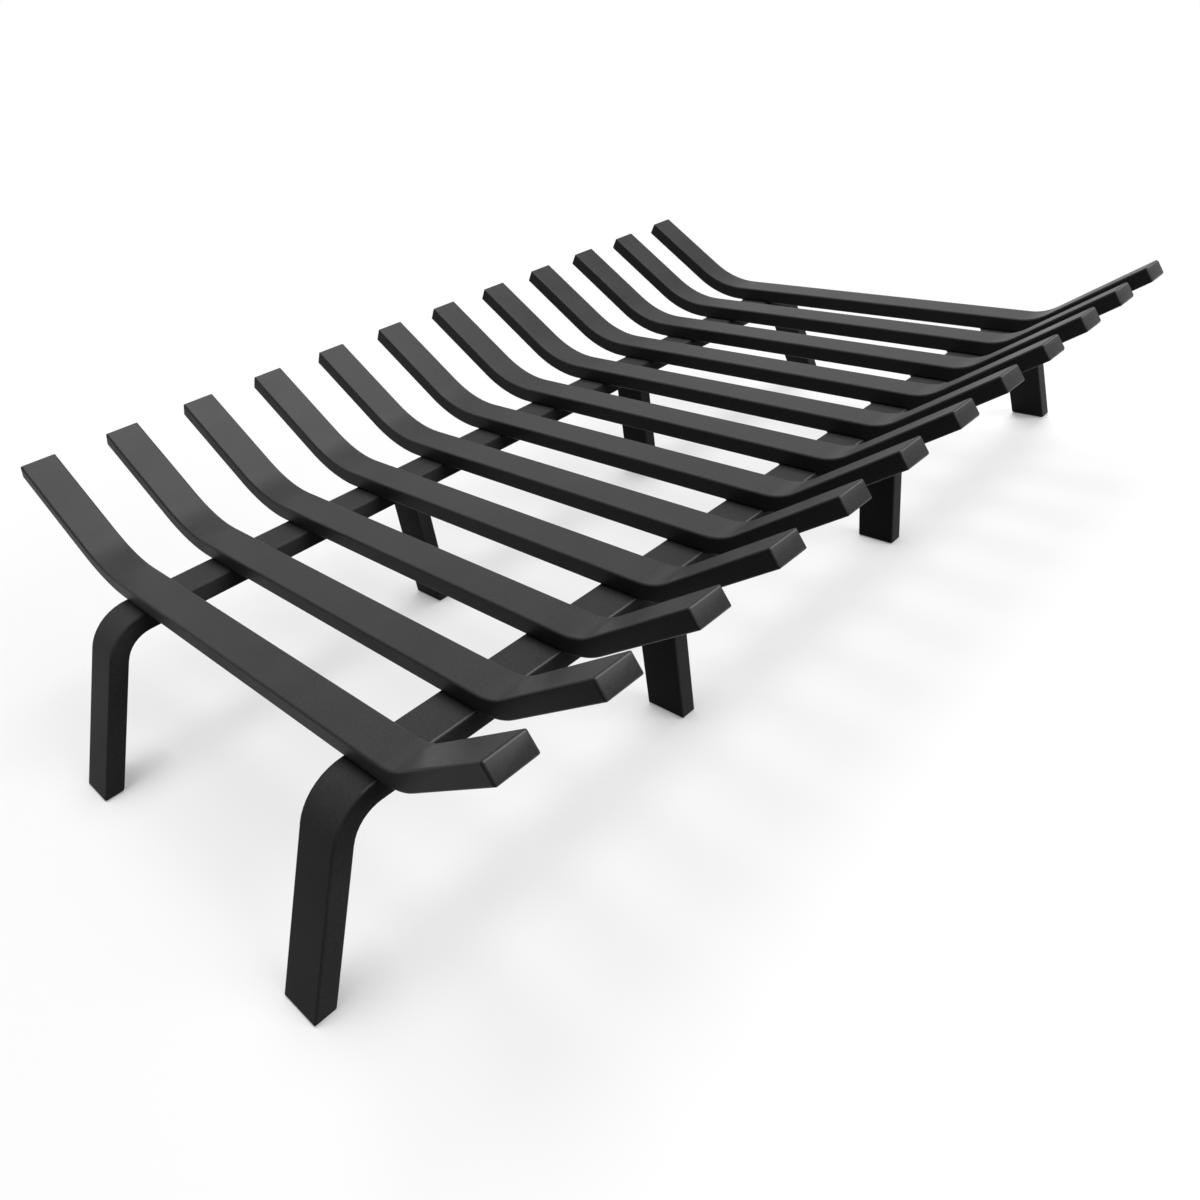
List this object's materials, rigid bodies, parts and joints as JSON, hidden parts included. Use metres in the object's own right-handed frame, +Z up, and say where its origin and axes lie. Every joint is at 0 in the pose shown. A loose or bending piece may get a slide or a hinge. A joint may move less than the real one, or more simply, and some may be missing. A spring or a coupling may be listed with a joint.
{
  "type": "log grate",
  "caption": "Free-standing fireplace log grate of flat steel bars: turned-up crossbars welded on two rails with splayed end legs and straight middle legs.",
  "frame": {"origin": "centre of the footprint at floor level, where the feet stand", "axes": "+X runs along the rails, -Y is the side with the shorter turned-up ends, +Z is up"},
  "size_m": [0.6866, 0.417, 0.147],
  "materials": {
    "crossbar_coat": "satin black powder coat",
    "rail_coat": "satin black powder coat",
    "leg_coat": "satin black powder coat",
    "weld_coat": "satin black powder coat"
  },
  "bodies": {
    "root": {"crossbar_01": "crossbar_coat", "crossbar_02": "crossbar_coat", "crossbar_03": "crossbar_coat", "crossbar_04": "crossbar_coat", "crossbar_05": "crossbar_coat", "crossbar_06": "crossbar_coat", "crossbar_07": "crossbar_coat", "crossbar_08": "crossbar_coat", "crossbar_09": "crossbar_coat", "crossbar_10": "crossbar_coat", "crossbar_11": "crossbar_coat", "crossbar_12": "crossbar_coat", "front_rail": "rail_coat", "back_rail": "rail_coat", "front_left_leg": "leg_coat", "front_right_leg": "leg_coat", "back_left_leg": "leg_coat", "back_right_leg": "leg_coat", "front_rail_welds": "weld_coat", "back_rail_welds": "weld_coat", "leg_welds": "weld_coat"}
  },
  "joints": []
}
